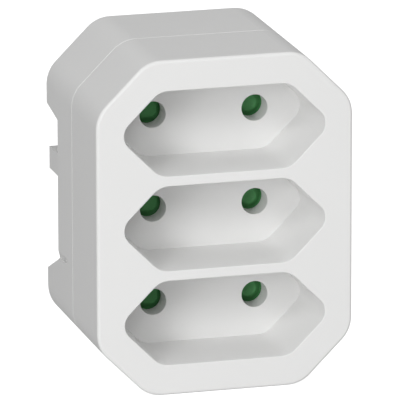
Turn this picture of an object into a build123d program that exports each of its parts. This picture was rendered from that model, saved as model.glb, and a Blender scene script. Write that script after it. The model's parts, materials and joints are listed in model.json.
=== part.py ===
from build123d import *
import os

# Three-way flat-plug socket adapter, in millimetres.
# The front looks along -Y, X runs to the right and Z up. The origin is the middle of the plug's
# face, between the two plug pins: where the adapter meets the bottom of a wall socket's well.

# Housing outline, an octagon with rounded corners
body_half_width = 23.65
body_half_height = 30.85
body_chamfer = 9.5
body_corner_radius = 6.0
body_depth = 37.3
body_wall = 2.2
front_shell_depth = 17.5
front_edge_radius = 0.6
seam_chamfer = 0.12
rear_edge_radius = 1.8

# Joint between the two shells: a tongue on the rear one in a rebate of the front one
tongue_length = 2.0
tongue_thickness = 1.0
tongue_gap = 0.08
rebate_reach = 0.5

# The three recesses and their pin holes
socket_count = 3
recess_land = 1.82
recess_edge_margin = 5.63
recess_flat_half = 12.0
recess_side_draft = 0.17
recess_tip_draft = 0.55
recess_tip_radius = 3.0
recess_corner_radius = 4.0
recess_lip_radius = 0.15
recess_wall = 1.6
recess_floor = 2.0
pin_spacing = 19.0
flat_pin_radius = 2.0
flat_pin_length = 19.0
flat_pin_end_gap = 1.8
flat_pin_play = 0.3
pin_hole_radius = 2.45
pin_hole_length = 4.0
pin_hole_wall = 1.0

# Finger grips: hollows at the back of the sides, wider at the rear edge than at their front end
grip_depth = 3.0
grip_length = 9.4
grip_top_front = 14.1
grip_top_rear = 15.8
grip_bottom_front = 12.0
grip_bottom_rear = 16.2

# A small nick that runs forward from the lower end of each grip
nick_length = 6.5
nick_depth = 0.55
nick_front_height = 0.8
nick_rear_height = 1.7

# Plug base on the back
plug_length = 18.0
plug_radius = 18.25
plug_wall = 2.0
plug_face_thickness = 2.5
plug_edge_radius = 0.7
guide_flat_depth = 1.9
guide_rib_half_width = 2.1
clip_groove_half_width = 4.0
clip_groove_depth = 3.0
plug_corner_radius = 0.9

# Plug pins
plug_pin_radius = 2.4
plug_pin_length = 19.0
plug_pin_tip_radius = 1.8
pin_root_radius = 2.6
pin_collar_radius = 3.5
pin_collar_thickness = 0.9
pin_spigot_radius = 1.5
pin_rivet_radius = 2.3
pin_rivet_height = 0.7
pin_boss_radius = 4.4
seat_gap = 0.02

# Shutters and their chambers
shutter_gap = 0.1
pad_height = 0.7
shutter_thickness = 1.6
shutter_half_width = 12.3
shutter_half_height = 2.9
shutter_corner_radius = 1.2
shutter_clearance = 0.15
shutter_stop_gap = 0.2
left_pad_half_width = 1.8
left_pad_half_height = 1.35
left_pad_cut_corner = 0.7
right_pad_radius = 1.45
pad_slope_width = 0.9
dimple_radius = 1.2
dimple_depth = 0.3
spring_block_half_width = 2.6
spring_block_front = 1.9
spring_slot_half_width = 2.0
spring_seat_height = -1.4
chamber_headroom = 1.1
guide_rib = 1.0
guide_base = 1.2
guide_gap = 0.75
guide_middle_half = 5.5
guide_middle_gap = 0.2
guide_hole_radius = 2.6

# Return springs
spring_radius = 1.4
spring_wire_radius = 0.18
spring_turns = 8
spring_peg_radius = 0.9
spring_peg_length = 1.2

# Contacts and busbars
contact_play = 0.02
contact_wall = 0.5
contact_end_gap = 2.75
contact_flange_radius = 3.0
contact_flange_thickness = 0.5
contact_lead_in = 0.35
contact_slit_width = 0.8
contact_slit_start = 2.2
foot_space = 1.2
busbar_thickness = 0.8
busbar_half_width = 3.1
busbar_leg_inset = 4.5
busbar_leg_half_height = 3.0
busbar_bend_radius = 0.9

# Screws and the posts they go into
screw_pin_offset = 6.1
screw_end_inset = 10.25
post_radius = 2.4
post_shoulder_radius = 3.0
post_length = 10.7
post_gap = 0.1
screw_boss_radius = 3.4
screw_radius = 1.4
screw_pilot_depth = 8.0
screw_tip_gap = 0.7
screw_head_radius = 2.35
screw_head_height = 1.8
screw_head_depth = 3.0
screw_head_gap = 0.25
screw_hole_gap = 0.2
screw_cross_length = 2.6
screw_cross_width = 0.6
screw_cross_depth = 0.9

# Ribs inside the rear shell
shelf_half_thickness = 0.6
shelf_inner_x = 7.0
barrier_half_thickness = 0.6
barrier_front_gap = 2.0
boss_web_half_thickness = 1.0

# Heights and places that follow the outline and the standard pins
land_count = socket_count - 1
recess_half_height = (
    body_half_height - recess_edge_margin - land_count * recess_land / 2
) / socket_count
socket_pitch = 2 * recess_half_height + recess_land
socket_rows = [(i - land_count / 2) * -socket_pitch for i in range(socket_count)]
row_names = ["top", "middle", "bottom"]
pin_x = pin_spacing / 2
recess_depth = body_depth - body_wall - flat_pin_end_gap - flat_pin_length
shutter_travel = shutter_half_height + flat_pin_radius + flat_pin_play
chamber_top = shutter_half_height + shutter_travel + chamber_headroom
contact_radius = flat_pin_radius + contact_play
guide_flat_x = plug_radius - guide_flat_depth
clip_groove_z = plug_radius - clip_groove_depth
screw_x = pin_x + screw_pin_offset
screw_z = body_half_height - screw_end_inset
post_places = [(sx * screw_x, sz * screw_z) for sx in (-1, 1) for sz in (-1, 1)]

# Stations along the depth, from the front face to the pin tips
front_y = -(body_depth + plug_length)
seam_y = front_y + front_shell_depth
rear_y = -plug_length
rear_inner_y = rear_y - body_wall
plug_inner_y = -plug_face_thickness
recess_floor_y = front_y + recess_depth
floor_back_y = recess_floor_y + recess_floor
hole_back_y = recess_floor_y + pin_hole_length
pad_front_y = hole_back_y + shutter_gap
shutter_front_y = pad_front_y + pad_height
shutter_back_y = shutter_front_y + shutter_thickness
guide_front_y = shutter_back_y + shutter_clearance
guide_back_y = guide_front_y + guide_base
spring_axis_y = guide_front_y - 2 * spring_wire_radius - spring_radius - shutter_clearance
busbar_front_y = guide_back_y + contact_flange_thickness
busbar_back_y = busbar_front_y + busbar_thickness
contact_end_y = rear_inner_y - contact_end_gap
flat_pin_tip_y = recess_floor_y + flat_pin_length
foot_front_y = flat_pin_tip_y + foot_space + pin_rivet_height
foot_back_y = foot_front_y + busbar_thickness
pin_boss_y = foot_back_y + pin_collar_thickness
post_end_y = floor_back_y + post_length
screw_seat_y = rear_y - screw_head_depth
screw_tip_y = post_end_y - screw_pilot_depth + screw_tip_gap


# A flat outline drawn in X and Z, given thickness from y_front back to y_back.
def slab(outline, y_front, y_back):
    plane = Plane(origin=(0, y_back, 0), x_dir=(1, 0, 0), z_dir=(0, -1, 0))
    return extrude(plane * outline, amount=y_back - y_front, dir=(0, -1, 0))


# A round bar along the depth, at x and z.
def rod(x, z, radius, y_front, y_back):
    return slab(Pos(x, z) * Circle(radius), y_front, y_back)


# A block given by its lowest and highest corners.
def block(x0, x1, y0, y1, z0, z1):
    return Pos((x0 + x1) / 2, (y0 + y1) / 2, (z0 + z1) / 2) * Box(x1 - x0, y1 - y0, z1 - z0)


# An octagon with cut and rounded corners.
def octagon(half_width, half_height, cut, radius):
    corners = [
        (half_width, half_height - cut),
        (half_width - cut, half_height),
        (-half_width + cut, half_height),
        (-half_width, half_height - cut),
        (-half_width, -half_height + cut),
        (-half_width + cut, -half_height),
        (half_width - cut, -half_height),
        (half_width, -half_height + cut),
    ]
    outline = Polygon(*corners, align=None)
    return fillet(outline.vertices(), radius) if radius > 0 else outline


# The housing's outline, taken in by inset all round.
def housing_outline(inset):
    cut = body_chamfer - inset * (2 - 2 ** 0.5)
    radius = body_corner_radius - inset
    return octagon(body_half_width - inset, body_half_height - inset, cut, radius)


# The edges of a solid that lie in one plane across the depth.
def edges_at(solid, y):
    return [e for e in solid.edges() if abs(e.center().Y - y) < 0.01 and abs((e @ 0).Y - y) < 0.01]


# A solid that runs straight from one outline to another.
def tapered(front_outline, y_front, back_outline, y_back):
    front = Plane(origin=(0, y_front, 0), x_dir=(1, 0, 0), z_dir=(0, -1, 0)) * front_outline
    back = Plane(origin=(0, y_back, 0), x_dir=(1, 0, 0), z_dir=(0, -1, 0)) * back_outline
    return loft([front.face(), back.face()], ruled=True)


# The six-sided outline of a recess, pointed and rounded at both ends.
def recess_outline(flat_half, half_height, tip_x, tip_radius, corner_radius):
    corners = [
        (tip_x, 0),
        (flat_half, half_height),
        (-flat_half, half_height),
        (-tip_x, 0),
        (-flat_half, -half_height),
        (flat_half, -half_height),
    ]
    outline = Polygon(*corners, align=None)
    outline = fillet([v for v in outline.vertices() if abs(v.Y) > 0.01], corner_radius)
    return fillet([v for v in outline.vertices() if abs(v.Y) < 0.01], tip_radius)


# The space inside one recess, a little narrower at its floor.
def recess_space(z):
    tip = recess_flat_half + recess_half_height
    mouth = recess_outline(
        recess_flat_half, recess_half_height, tip, recess_tip_radius, recess_corner_radius
    )
    floor = recess_outline(
        recess_flat_half - recess_tip_draft + recess_side_draft,
        recess_half_height - recess_side_draft,
        tip - recess_tip_draft,
        recess_tip_radius,
        recess_corner_radius,
    )
    return Pos(0, 0, z) * tapered(mouth, front_y, floor, recess_floor_y)


# The moulded wall around one recess, up to the back of its floor.
def recess_shell(z):
    tip = recess_flat_half + recess_half_height + recess_wall * 2 ** 0.5
    flat_half = tip - recess_half_height - recess_wall
    outline = recess_outline(
        flat_half,
        recess_half_height + recess_wall,
        tip,
        recess_tip_radius + recess_wall,
        recess_corner_radius + recess_wall,
    )
    return slab(Pos(0, z) * outline, front_y + body_wall / 2, floor_back_y)


# Front shell: face, three recesses with holes, screw posts and the rebate for the tongue.
def make_front_cover():
    shell = slab(housing_outline(0), front_y, seam_y)
    shell = fillet(edges_at(shell, front_y), front_edge_radius)
    shell = chamfer(edges_at(shell, seam_y), seam_chamfer)
    shell -= slab(housing_outline(body_wall), front_y + body_wall, seam_y + 1)
    rebate_y = seam_y - tongue_length - tongue_gap
    rebate = slab(housing_outline(body_wall - tongue_thickness - tongue_gap), rebate_y, seam_y + 1)
    rebate -= slab(housing_outline(body_wall + rebate_reach), rebate_y - 1, seam_y + 2)
    shell -= rebate
    for z in socket_rows:
        shell += recess_shell(z)
    for z in socket_rows:
        for side in (-1, 1):
            shell += rod(
                side * pin_x, z, pin_hole_radius + pin_hole_wall, recess_floor_y + 1, hole_back_y
            )
    for x, z in post_places:
        shell += rod(x, z, post_shoulder_radius, recess_floor_y + 1, guide_front_y)
        shell += rod(x, z, post_radius, guide_front_y - 1, post_end_y)
        shell -= rod(x, z, screw_radius + seat_gap, post_end_y - screw_pilot_depth, post_end_y + 1)
    for z in socket_rows:
        shell -= recess_space(z)
        for side in (-1, 1):
            shell -= rod(side * pin_x, z, pin_hole_radius, recess_floor_y - 1, hole_back_y + 1)
    lips = [
        e
        for e in edges_at(shell, front_y)
        if abs(e.center().X) < recess_flat_half + recess_half_height
        and abs(e.center().Z) < socket_rows[0] + recess_half_height + 0.1
    ]
    return fillet(lips, recess_lip_radius)


# Plug base outline: round, flat at the sides, and grooved above and below for the earth clips.
def plug_outline(inset):
    outline = Circle(plug_radius - inset)
    flat_x = guide_flat_x - inset
    groove_z = clip_groove_z - inset
    groove_half = clip_groove_half_width + inset
    for side in (-1, 1):
        flat = Pos(side * (flat_x + plug_radius / 2), 0) * Rectangle(plug_radius, 2 * plug_radius)
        groove = Pos(0, side * (groove_z + plug_radius / 2)) * Rectangle(2 * groove_half, plug_radius)
        outline = outline - flat - groove
    return outline


# Finger grip on the right side: a round hollow that is deepest at the rear edge.
def grip_cut(extra):
    radius = (grip_length ** 2 + grip_depth ** 2) / (2 * grip_depth)
    center_x = body_half_width - grip_depth + radius
    hollow = Pos(center_x, rear_y, 0) * Cylinder(radius + extra, 2 * body_half_height)
    hollow &= block(0, body_half_width + 1, seam_y, rear_y + 1, -body_half_height, body_half_height)
    top_flare = (grip_top_rear - grip_top_front) / grip_length
    bottom_flare = (grip_bottom_rear - grip_bottom_front) / grip_length
    ends = Polygon(
        (seam_y, grip_top_rear - top_flare * (rear_y - seam_y) + extra),
        (rear_y + 1, grip_top_rear + top_flare + extra),
        (rear_y + 1, -grip_bottom_rear - bottom_flare - extra),
        (seam_y, -grip_bottom_rear + bottom_flare * (rear_y - seam_y) - extra),
        align=None,
    )
    return hollow & extrude(Plane.YZ * ends, amount=body_half_width + 1, dir=(1, 0, 0))


# The nick on the right side: shallow at its upper edge, deepest along its lower one.
def grip_nick():
    top_z = nick_rear_height - grip_bottom_front
    ends = []
    for height in (nick_front_height, nick_rear_height):
        low_z = top_z - height
        ends.append(
            Polygon(
                (body_half_width - nick_depth, low_z),
                (body_half_width + nick_depth, low_z),
                (body_half_width + nick_depth, top_z + height),
                align=None,
            )
        )
    grip_front_y = rear_y - grip_length
    return tapered(ends[0], grip_front_y - nick_length, ends[1], grip_front_y + nick_depth)


# Rear shell: tub with its tongue, grips, plug base, pin bosses, screw bosses and ribs.
def make_rear_housing():
    shell = slab(housing_outline(0), seam_y, rear_y)
    shell = fillet(edges_at(shell, rear_y), rear_edge_radius)
    shell = chamfer(edges_at(shell, seam_y), seam_chamfer)
    for cut in (grip_cut(0), grip_nick()):
        shell = shell - cut - mirror(cut, Plane.YZ)
    hollow = slab(housing_outline(body_wall), seam_y - 1, rear_inner_y)
    grip_back = grip_cut(body_wall)
    shell -= hollow - grip_back - mirror(grip_back, Plane.YZ)
    shelf_outer_x = body_half_width - grip_depth - body_wall / 2
    tongue_y = seam_y - tongue_length
    tongue = slab(housing_outline(body_wall - tongue_thickness), tongue_y, seam_y + 1)
    shell += tongue - slab(housing_outline(body_wall), tongue_y - 1, seam_y + 2)

    outline = plug_outline(0)
    plug = slab(fillet(outline.vertices(), plug_corner_radius), rear_inner_y, 0)
    plug = fillet(edges_at(plug, 0), plug_edge_radius)
    rib_center = (guide_flat_depth + plug_wall) / 2
    for side in (-1, 1):
        rib = Rectangle(guide_flat_depth + plug_wall, 2 * guide_rib_half_width)
        plug += slab(Pos(side * (plug_radius - rib_center), 0) * rib, rear_inner_y, 0)
    shell += plug
    plug_hollow = slab(plug_outline(plug_wall), rear_inner_y - 1, plug_inner_y)
    shell -= plug_hollow

    shell += block(
        -pin_x, pin_x, pin_boss_y, plug_inner_y + 1, -boss_web_half_thickness, boss_web_half_thickness
    )
    barrier_y = guide_back_y + barrier_front_gap
    shell += block(
        -barrier_half_thickness,
        barrier_half_thickness,
        barrier_y,
        plug_inner_y + 1,
        -clip_groove_z + plug_wall,
        clip_groove_z - plug_wall,
    )
    for side in (-1, 1):
        shell += rod(side * pin_x, 0, pin_boss_radius, pin_boss_y, plug_inner_y + 1)
        shell -= rod(side * pin_x, 0, pin_root_radius + seat_gap, pin_boss_y - 1, 1)
        for level in (-1, 1):
            shell += block(
                *sorted((side * shelf_inner_x, side * shelf_outer_x)),
                busbar_back_y,
                rear_inner_y + 1,
                level * socket_pitch / 2 - shelf_half_thickness,
                level * socket_pitch / 2 + shelf_half_thickness,
            )
    for x, z in post_places:
        shell += rod(x, z, screw_boss_radius, guide_back_y, rear_inner_y + 1)
        shell -= rod(x, z, post_radius + post_gap, guide_back_y - 1, post_end_y + post_gap)
        shell -= rod(x, z, screw_radius + screw_hole_gap, guide_back_y, rear_y + 1)
        shell -= rod(x, z, screw_head_radius + screw_head_gap, screw_seat_y, rear_y + 1)
    return shell


# Shutter for one recess: a bar with a raised pad behind each hole and a seat for its spring.
def make_shutter(z):
    bar = RectangleRounded(2 * shutter_half_width, 2 * shutter_half_height, shutter_corner_radius)
    shutter = slab(bar, shutter_front_y, shutter_back_y)
    left_face = octagon(left_pad_half_width, left_pad_half_height, left_pad_cut_corner, 0)
    left_base = octagon(
        left_pad_half_width + pad_slope_width,
        left_pad_half_height + pad_slope_width,
        left_pad_cut_corner,
        0,
    )
    shutter += Pos(-pin_x, 0, 0) * tapered(left_face, pad_front_y, left_base, shutter_front_y)
    right_face = Circle(right_pad_radius)
    right_base = Circle(right_pad_radius + pad_slope_width)
    shutter += Pos(pin_x, 0, 0) * tapered(right_face, pad_front_y, right_base, shutter_front_y)
    ball_radius = (dimple_radius ** 2 + dimple_depth ** 2) / (2 * dimple_depth)
    shutter -= Pos(pin_x, pad_front_y + dimple_depth - ball_radius, 0) * Sphere(ball_radius)
    shutter += block(
        -spring_block_half_width,
        spring_block_half_width,
        shutter_front_y - spring_block_front,
        shutter_back_y,
        -shutter_half_height,
        spring_seat_height,
    )
    shutter -= block(
        -spring_slot_half_width,
        spring_slot_half_width,
        shutter_front_y - spring_block_front - 1,
        shutter_back_y + 1,
        spring_seat_height,
        shutter_half_height + 1,
    )
    peg = Pos(0, spring_axis_y, spring_seat_height + spring_peg_length / 2)
    shutter += peg * Cylinder(spring_peg_radius, spring_peg_length)
    return Pos(0, 0, z) * shutter


# Inner plate with a walled chamber for each shutter, held on the four posts.
def make_shutter_guide():
    guide = slab(housing_outline(body_wall + guide_gap), guide_front_y, guide_back_y)
    inner_x = shutter_half_width + shutter_clearance
    outer_x = inner_x + guide_rib
    low = -shutter_half_height - shutter_stop_gap
    for z in socket_rows:
        walls = block(
            -outer_x, outer_x, hole_back_y, guide_front_y + 0.1,
            z + low - guide_rib, z + chamber_top + guide_rib,
        )
        walls += block(
            -guide_middle_half, guide_middle_half, floor_back_y + guide_middle_gap, guide_front_y,
            z + low - guide_rib, z + chamber_top + guide_rib,
        )
        walls -= block(
            -inner_x, inner_x, floor_back_y - 1, guide_front_y,
            z + low, z + chamber_top,
        )
        guide += walls
        peg = Pos(0, spring_axis_y, z + chamber_top - spring_peg_length / 2)
        guide += peg * Cylinder(spring_peg_radius, spring_peg_length + 0.01)
        for side in (-1, 1):
            guide -= rod(side * pin_x, z, guide_hole_radius, guide_front_y - 1, guide_back_y + 1)
    reach = post_shoulder_radius + post_gap
    for x, z in post_places:
        guide -= rod(x, z, post_radius + post_gap, guide_front_y - 1, guide_back_y + 1)
        guide -= block(x - reach, x + reach, floor_back_y, guide_front_y, z - reach, z + reach)
    return guide


# Coil spring from the shutter's seat up to the roof of its chamber.
def make_spring(z):
    height = chamber_top - spring_seat_height - 2 * spring_wire_radius
    path = Helix(
        pitch=height / spring_turns,
        height=height,
        radius=spring_radius,
        center=(0, spring_axis_y, z + spring_seat_height + spring_wire_radius),
    )
    wire = Plane(origin=path @ 0, z_dir=path % 0) * Circle(spring_wire_radius)
    return sweep(wire, path=path, is_frenet=True)


# Slotted sleeve that grips a pin, with a flange in front of the busbar.
def make_contact(side, z):
    x = side * pin_x
    outer = contact_radius + contact_wall
    contact = rod(x, z, outer, guide_back_y, contact_end_y)
    contact += rod(x, z, contact_flange_radius, guide_back_y, busbar_front_y)
    contact -= rod(x, z, contact_radius, guide_back_y - 1, contact_end_y + 1)
    mouth = [e for e in edges_at(contact, guide_back_y) if e.radius < contact_radius + 0.01]
    contact = chamfer(mouth, contact_lead_in)
    slit = block(
        x - contact_slit_width / 2,
        x + contact_slit_width / 2,
        busbar_back_y + contact_slit_start,
        contact_end_y + 1,
        z - outer - 1,
        z + outer + 1,
    )
    return contact - slit


# Busbar on the right: a strip across the three contacts, bent back to a foot on the plug pin.
def make_busbar():
    leg_x = pin_x - busbar_leg_inset
    ends = socket_rows[0] - socket_rows[-1]
    strip = Pos(pin_x, 0) * Rot(0, 0, 90) * SlotCenterToCenter(ends, 2 * busbar_half_width)
    bar = slab(strip, busbar_front_y, busbar_back_y)
    leg = Rectangle(pin_x - leg_x, 2 * busbar_leg_half_height)
    tab = Pos((leg_x + pin_x) / 2, 0) * leg
    bar += slab(tab, busbar_front_y, busbar_back_y)
    bar += block(
        leg_x,
        leg_x + busbar_thickness,
        busbar_front_y,
        foot_back_y,
        -busbar_leg_half_height,
        busbar_leg_half_height,
    )
    foot = tab + Pos(pin_x, 0) * Circle(busbar_leg_half_height)
    bar += slab(foot, foot_front_y, foot_back_y)
    outer_bends = [
        e
        for e in bar.edges()
        if abs(e.center().X - leg_x) < 0.01
        and abs(e.center().Z) < 0.01
        and min(abs(e.center().Y - busbar_front_y), abs(e.center().Y - foot_back_y)) < 0.01
    ]
    bar = fillet(outer_bends, busbar_bend_radius)
    for z in socket_rows:
        bar -= rod(
            pin_x, z, contact_radius + contact_wall + seat_gap, busbar_front_y - 1, busbar_back_y + 1
        )
    bar -= rod(pin_x, 0, pin_spigot_radius + seat_gap, foot_front_y - 1, foot_back_y + 1)
    return bar


# Plug pin on the right: round-ended blade, root, collar and the spigot riveted over the busbar.
def make_plug_pin():
    pin = rod(pin_x, 0, plug_pin_radius, -1, plug_pin_length)
    pin = fillet(edges_at(pin, plug_pin_length), plug_pin_tip_radius)
    pin += rod(pin_x, 0, pin_root_radius, pin_boss_y, 0)
    pin += rod(pin_x, 0, pin_collar_radius, foot_back_y, pin_boss_y)
    pin += rod(pin_x, 0, pin_spigot_radius, foot_front_y - pin_rivet_height, foot_back_y + 0.1)
    head = rod(pin_x, 0, pin_rivet_radius, foot_front_y - pin_rivet_height, foot_front_y)
    rim = edges_at(head, foot_front_y - pin_rivet_height)
    return pin + fillet(rim, pin_rivet_height / 2)


# Four self-tapping screws with a cross in their heads.
def make_housing_screws():
    screws = []
    for x, z in post_places:
        screw = rod(x, z, screw_radius, screw_tip_y, screw_seat_y + 0.1)
        screw = chamfer(edges_at(screw, screw_tip_y), screw_radius / 2)
        head = rod(x, z, screw_head_radius, screw_seat_y, screw_seat_y + screw_head_height)
        screw += fillet(edges_at(head, screw_seat_y + screw_head_height), screw_head_height / 2)
        cross_y = screw_seat_y + screw_head_height - screw_cross_depth
        long_half = screw_cross_length / 2
        short_half = screw_cross_width / 2
        for half_x, half_z in ((long_half, short_half), (short_half, long_half)):
            screw -= block(x - half_x, x + half_x, cross_y, rear_y, z - half_z, z + half_z)
        screws.append(screw.solid())
    return Compound(children=screws)


os.makedirs("parts", exist_ok=True)
pieces = {}
pieces["front_cover"] = make_front_cover()
pieces["rear_housing"] = make_rear_housing()
pieces["shutter_guide"] = make_shutter_guide()
for name, z in zip(row_names, socket_rows):
    pieces["shutter_" + name] = make_shutter(z)
    pieces["shutter_spring_" + name] = make_spring(z)
    pieces["contact_line_" + name] = make_contact(-1, z)
    pieces["contact_neutral_" + name] = make_contact(1, z)
right_busbar = make_busbar()
pieces["line_busbar"] = mirror(right_busbar, Plane.YZ)
pieces["neutral_busbar"] = right_busbar
right_pin = make_plug_pin()
pieces["line_pin"] = mirror(right_pin, Plane.YZ)
pieces["neutral_pin"] = right_pin
pieces["housing_screws"] = make_housing_screws()

for name, piece in pieces.items():
    export_step(piece, "parts/" + name + ".step")
    print(name, round(piece.volume, 1))
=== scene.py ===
import json
import math

import bpy
from mathutils import Matrix, Vector

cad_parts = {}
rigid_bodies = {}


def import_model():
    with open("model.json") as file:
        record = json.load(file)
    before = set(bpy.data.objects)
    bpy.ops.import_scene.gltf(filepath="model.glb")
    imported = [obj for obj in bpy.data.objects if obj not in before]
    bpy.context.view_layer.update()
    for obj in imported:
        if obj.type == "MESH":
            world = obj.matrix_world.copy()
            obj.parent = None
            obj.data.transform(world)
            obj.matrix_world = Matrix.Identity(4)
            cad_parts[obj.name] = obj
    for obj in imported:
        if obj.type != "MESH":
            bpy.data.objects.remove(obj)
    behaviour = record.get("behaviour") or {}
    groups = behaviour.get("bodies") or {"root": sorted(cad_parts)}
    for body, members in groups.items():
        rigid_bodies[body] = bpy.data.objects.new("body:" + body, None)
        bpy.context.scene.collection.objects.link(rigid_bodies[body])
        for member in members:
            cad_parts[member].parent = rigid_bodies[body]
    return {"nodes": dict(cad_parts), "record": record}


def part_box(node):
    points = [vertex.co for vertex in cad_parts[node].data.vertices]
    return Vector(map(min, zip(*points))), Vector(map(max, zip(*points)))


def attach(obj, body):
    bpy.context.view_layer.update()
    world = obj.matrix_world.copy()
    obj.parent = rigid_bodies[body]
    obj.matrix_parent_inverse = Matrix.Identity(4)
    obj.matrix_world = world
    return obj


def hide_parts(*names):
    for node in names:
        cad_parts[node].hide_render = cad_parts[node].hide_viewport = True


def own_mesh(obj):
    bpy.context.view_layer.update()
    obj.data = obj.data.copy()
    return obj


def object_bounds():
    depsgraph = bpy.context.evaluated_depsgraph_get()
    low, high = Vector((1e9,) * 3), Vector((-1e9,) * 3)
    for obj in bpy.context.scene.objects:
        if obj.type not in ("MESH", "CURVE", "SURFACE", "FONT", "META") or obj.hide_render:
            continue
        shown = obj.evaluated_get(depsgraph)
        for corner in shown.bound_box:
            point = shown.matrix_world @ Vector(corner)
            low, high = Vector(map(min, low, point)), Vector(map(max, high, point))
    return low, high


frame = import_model()
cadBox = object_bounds()
white = (1, 1, 1, 1)
print("frame loaded,", len(frame["nodes"]), "nodes")


# One shader socket. Arithmetic on it adds Math nodes; node() adds any other node.
class Socket:
    def __init__(self, tree, link):
        self.tree = tree
        self.link = link

    def node(self, kind, settings, inputs, output=0):
        new = self.tree.nodes.new(kind)
        for name, value in settings.items():
            setattr(new, name, value)
        for name, value in inputs.items():
            if isinstance(value, Socket):
                self.tree.links.new(value.link, new.inputs[name])
            else:
                new.inputs[name].default_value = value
        return Socket(self.tree, new.outputs[output])

    def sum(self, operation, first, second):
        return self.node("ShaderNodeMath", {"operation": operation}, {0: first, 1: second})

    def __add__(self, other):
        return self.sum("ADD", self, other)

    def __sub__(self, other):
        return self.sum("SUBTRACT", self, other)

    def __rsub__(self, other):
        return self.sum("SUBTRACT", other, self)

    def __mul__(self, other):
        return self.sum("MULTIPLY", self, other)

    __radd__ = __add__
    __rmul__ = __mul__


# A new material with its shader, and the place of each point on the piece
def newMaterial(name, fixed):
    material = bpy.data.materials.new(name)
    material.use_nodes = True
    tree = material.node_tree
    shader = tree.nodes["Principled BSDF"]
    for socket, value in fixed.items():
        shader.inputs[socket].default_value = value
    start = Socket(tree, None)
    place = start.node("ShaderNodeTexCoord", {}, {}, "Object")
    return material, shader, place


def connect(shader, values):
    for socket, value in values.items():
        value.tree.links.new(value.link, shader.inputs[socket])


# Noise of about one feature per size, in metres
def noise(place, size, detail, stretch=(1, 1, 1)):
    scaled = place.node(
        "ShaderNodeMapping", {}, {"Vector": place, "Scale": tuple(s / size for s in stretch)}
    )
    return place.node("ShaderNodeTexNoise", {}, {"Vector": scaled, "Scale": 1.0, "Detail": detail})


# The node's sockets share names, so its colours go in by number: 6 and 7, and the mix comes out of 2
def mixColours(factor, first, second):
    return factor.node(
        "ShaderNodeMix", {"data_type": "RGBA"}, {"Factor": factor, 6: (*first, 1), 7: (*second, 1)}, 2
    )


def bumpFrom(height, depth):
    return height.node("ShaderNodeBump", {}, {"Height": height, "Distance": depth, "Strength": 1.0})


# Both shells: a smooth white moulding with faint flow marks and a fine grain
shellLook = {
    "light": (0.82, 0.82, 0.815), "dark": (0.795, 0.795, 0.788), "cloudSize": 0.018,
    "grainSize": 0.00022, "grainDepth": 0.000012, "waveSize": 0.004, "waveDepth": 0.00001,
    "roughness": 0.45, "roughnessSpread": 0.12, "grainSpread": 0.06, "gloss": 0.3, "ior": 1.5,
}


def shellMaterial():
    look = shellLook
    material, shader, place = newMaterial(
        "whiteShell", {"IOR": look["ior"], "Specular IOR Level": look["gloss"]}
    )
    cloud = noise(place, look["cloudSize"], detail=3.0)
    wave = noise(place, look["waveSize"], detail=1.0)
    grain = noise(place, look["grainSize"], detail=3.0)
    height = grain + wave * (look["waveDepth"] / look["grainDepth"])
    unevenness = (wave - 0.5) * look["roughnessSpread"] + (grain - 0.5) * look["grainSpread"]
    connect(shader, {
        "Base Color": mixColours(cloud, look["dark"], look["light"]),
        "Roughness": look["roughness"] + unevenness,
        "Normal": bumpFrom(height, look["grainDepth"]),
    })
    return material


# Shutters: deep green, duller than the shells
shutterLook = {
    "light": (0.095, 0.350, 0.118), "dark": (0.070, 0.270, 0.089), "cloudSize": 0.003,
    "grainSize": 0.0003, "grainDepth": 0.000015, "roughness": 0.5, "roughnessSpread": 0.15,
    "gloss": 0.3, "ior": 1.5,
}


def shutterMaterial():
    look = shutterLook
    material, shader, place = newMaterial(
        "greenShutter", {"IOR": look["ior"], "Specular IOR Level": look["gloss"]}
    )
    cloud = noise(place, look["cloudSize"], detail=3.0)
    grain = noise(place, look["grainSize"], detail=2.0)
    connect(shader, {
        "Base Color": mixColours(cloud, look["dark"], look["light"]),
        "Roughness": look["roughness"] + (grain - 0.5) * look["roughnessSpread"],
        "Normal": bumpFrom(grain, look["grainDepth"]),
    })
    return material


# Inner guide: undyed engineering plastic
guideLook = {
    "light": (0.78, 0.74, 0.64), "dark": (0.70, 0.66, 0.55), "cloudSize": 0.009,
    "grainSize": 0.0004, "grainDepth": 0.00002, "roughness": 0.5, "roughnessSpread": 0.2, "ior": 1.52,
}


def guideMaterial():
    look = guideLook
    material, shader, place = newMaterial("naturalGuide", {"IOR": look["ior"]})
    cloud = noise(place, look["cloudSize"], detail=4.0)
    grain = noise(place, look["grainSize"], detail=2.0)
    connect(shader, {
        "Base Color": mixColours(cloud, look["dark"], look["light"]),
        "Roughness": look["roughness"] + (cloud - 0.5) * look["roughnessSpread"],
        "Normal": bumpFrom(grain, look["grainDepth"]),
    })
    return material


# Metals differ in colour, in how their tool marks run and in how dull they are
metalLooks = {
    "contactBrass": {
        "light": (0.88, 0.69, 0.36), "dark": (0.70, 0.50, 0.22), "cloudSize": 0.0025,
        "markSize": 0.00025, "run": (1, 0.08, 1), "markDepth": 0.000006, "roughness": 0.26,
    },
    "busbarBrass": {
        "light": (0.86, 0.66, 0.33), "dark": (0.66, 0.47, 0.20), "cloudSize": 0.006,
        "markSize": 0.00025, "run": (1, 1, 0.05), "markDepth": 0.000006, "roughness": 0.3,
    },
    "platedPin": {
        "light": (0.80, 0.79, 0.75), "dark": (0.70, 0.69, 0.66), "cloudSize": 0.006,
        "markSize": 0.0002, "run": (0.03, 1, 0.03), "markDepth": 0.000004, "roughness": 0.2,
    },
    "springWire": {
        "light": (0.60, 0.61, 0.63), "dark": (0.44, 0.45, 0.47), "cloudSize": 0.001,
        "markSize": 0.0001, "run": (0.2, 0.2, 1), "markDepth": 0.000003, "roughness": 0.32,
    },
    "screwZinc": {
        "light": (0.68, 0.69, 0.70), "dark": (0.55, 0.55, 0.53), "cloudSize": 0.0015,
        "markSize": 0.00018, "run": (0.1, 1, 0.1), "markDepth": 0.000006, "roughness": 0.35,
    },
}
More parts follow.
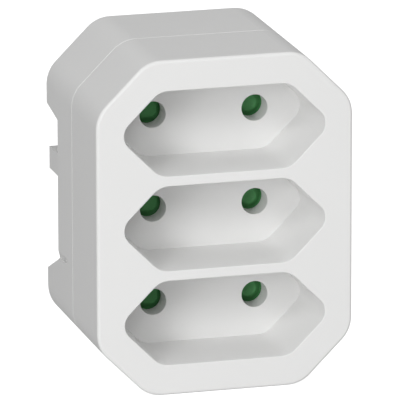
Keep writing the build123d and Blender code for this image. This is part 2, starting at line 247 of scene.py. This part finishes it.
metalSpread = {"marks": 0.2, "cloud": 0.1}  # how far marks and tarnish change the roughness


def metalMaterial(name):
    look = metalLooks[name]
    material, shader, place = newMaterial(name, {"Metallic": 1.0})
    cloud = noise(place, look["cloudSize"], detail=3.0)
    marks = noise(place, look["markSize"], detail=2.0, stretch=look["run"])
    unevenness = (marks - 0.5) * metalSpread["marks"] + (cloud - 0.5) * metalSpread["cloud"]
    connect(shader, {
        "Base Color": mixColours(cloud, look["dark"], look["light"]),
        "Roughness": look["roughness"] + unevenness,
        "Normal": bumpFrom(marks, look["markDepth"]),
    })
    return material


finishes = {
    "white_shell": shellMaterial(),
    "green_plastic": shutterMaterial(),
    "natural_plastic": guideMaterial(),
    "contact_brass": metalMaterial("contactBrass"),
    "busbar_brass": metalMaterial("busbarBrass"),
    "plated_pin": metalMaterial("platedPin"),
    "spring_steel": metalMaterial("springWire"),
    "screw_steel": metalMaterial("screwZinc"),
}
for part in frame["record"]["subparts"]:
    for slot in frame["nodes"][part["node"]].material_slots:
        slot.material = finishes[part["material_slot"]]
print("materials made:", len(finishes))

# Return springs: each is a coil under the roof of its shutter's chamber; the script copies it,
# smooths it, gives it the spring steel finish and hangs it on its joint's parent body, but does not
# squash it as the shutter rises
springLook = {"mergeDistance": 0.000001, "smoothAngle": 40}


def makeSpring(joint):
    rule = joint["deforming_nodes"][0]
    roof = rule["fixed_end_z_m"]
    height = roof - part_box(rule["node"])[0][2]
    spring = bpy.data.objects.new(joint["name"] + "_coil", frame["nodes"][rule["node"]].data.copy())
    bpy.context.scene.collection.objects.link(spring)
    bpy.ops.object.select_all(action="DESELECT")
    spring.select_set(True)
    bpy.context.view_layer.objects.active = spring
    bpy.ops.object.mode_set(mode="EDIT")
    bpy.ops.mesh.select_all(action="SELECT")
    bpy.ops.mesh.remove_doubles(threshold=springLook["mergeDistance"])
    bpy.ops.object.mode_set(mode="OBJECT")
    bpy.ops.object.shade_smooth_by_angle(angle=math.radians(springLook["smoothAngle"]))
    spring.data.materials.clear()
    spring.data.materials.append(finishes["spring_steel"])
    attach(spring, joint["parent"])
    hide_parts(rule["node"])
    keep = (height - joint["range_m"][1]) / height
    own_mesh(spring)


for joint in frame["record"]["behaviour"]["joints"]:
    makeSpring(joint)
print("springs made")

# Pale floor under the housing
floorLook = {
    "halfSize": 4.0, "dark": (0.88, 0.88, 0.875), "light": (0.90, 0.90, 0.895), "cloudSize": 0.3,
    "roughness": 0.8, "glow": 0.72,
}


def makeFloor():
    look = floorLook
    bpy.ops.object.select_all(action="DESELECT")
    bpy.ops.mesh.primitive_plane_add(size=2 * look["halfSize"], location=(0, 0, cadBox[0][2]))
    bpy.ops.object.transform_apply(location=True, rotation=True, scale=True)
    floor = bpy.context.object
    floor.name = "studioFloor"
    material, shader, place = newMaterial(
        "paleFloor",
        {"Roughness": look["roughness"], "Emission Color": white, "Emission Strength": look["glow"]},
    )
    cloud = noise(place, look["cloudSize"], detail=2.0)
    connect(shader, {"Base Color": mixColours(cloud, look["dark"], look["light"])})
    floor.data.materials.append(material)
    floor.visible_diffuse = False  # it shows, but neither lights the housing nor mirrors in it
    floor.visible_glossy = False
    floor.visible_shadow = False  # the bounce light stands under it


makeFloor()

# Soft lights: where each stands as seen from the middle of the front, its size and its power
aim = Vector((-0.0046841, -0.0553, 0.0049143))
lights = {
    "keyLow": {"azimuth": -42, "elevation": 12, "distance": 0.9, "size": 0.25, "watts": 1.75},
    "keyHigh": {"azimuth": -42, "elevation": 35, "distance": 0.9, "size": 0.25, "watts": 1.25},
    "keyMiddle": {"azimuth": -28, "elevation": 6, "distance": 0.9, "size": 0.5, "watts": 1.5},
    "frontHigh": {"azimuth": 0, "elevation": 35, "distance": 0.9, "size": 0.25, "watts": 1.35},
    "sideFill": {"azimuth": 70, "elevation": 60, "distance": 0.9, "size": 0.5, "watts": 1.6},
    "tableBounce": {
        "azimuth": -5, "elevation": -50, "distance": 0.9, "size": 0.5, "watts": 1.6, "glare": False,
    },
    "rearBox": {
        "azimuth": 180, "elevation": 0, "distance": 1.1, "size": 0.3, "watts": 4.5, "glare": False,
    },
}
skyStrength = 0.3


# Unit vector from the aim towards an azimuth and elevation; azimuth 0 is straight in front
def towards(azimuth, elevation):
    a, e = math.radians(azimuth), math.radians(elevation)
    return Vector((math.sin(a) * math.cos(e), -math.cos(a) * math.cos(e), math.sin(e)))


for name, spec in lights.items():
    data = bpy.data.lights.new(name, "AREA")
    data.size = spec["size"]
    data.energy = spec["watts"]
    lamp = bpy.data.objects.new(name, data)
    bpy.context.scene.collection.objects.link(lamp)
    back = towards(spec["azimuth"], spec["elevation"])
    lamp.location = aim + back * spec["distance"]
    lamp.rotation_euler = back.to_track_quat("Z", "Y").to_euler()
    lamp.visible_glossy = spec.get("glare", True)  # two of them would glare along the sides

world = bpy.data.worlds.new("studioSky")
world.use_nodes = True
world.node_tree.nodes["Background"].inputs["Color"].default_value = white
world.node_tree.nodes["Background"].inputs["Strength"].default_value = skyStrength
bpy.context.scene.world = world
bpy.context.scene.view_settings.view_transform = "Standard"
print("lights set:", len(lights))

# The photograph's viewing angle
cameraSpec = {
    "azimuth": -15.5227, "elevation": 14.9474, "roll": -0.1114, "distance": 1.2,
    "lens": 607.23, "sensor": 36.0, "nearest": 0.01,
}


def makeCamera():
    data = bpy.data.cameras.new("photoCamera")
    data.sensor_fit = "HORIZONTAL"
    data.sensor_width = cameraSpec["sensor"]
    data.lens = cameraSpec["lens"]
    data.clip_start = cameraSpec["nearest"]
    camera = bpy.data.objects.new("photoCamera", data)
    bpy.context.scene.collection.objects.link(camera)
    turn = (
        Matrix.Rotation(math.radians(cameraSpec["azimuth"]), 4, "Z")
        @ Matrix.Rotation(math.radians(90 - cameraSpec["elevation"]), 4, "X")
        @ Matrix.Rotation(math.radians(cameraSpec["roll"]), 4, "Z")
    )
    back = towards(cameraSpec["azimuth"], cameraSpec["elevation"])
    camera.matrix_world = Matrix.Translation(aim + back * cameraSpec["distance"]) @ turn
    bpy.context.scene.camera = camera


makeCamera()
print("camera set")
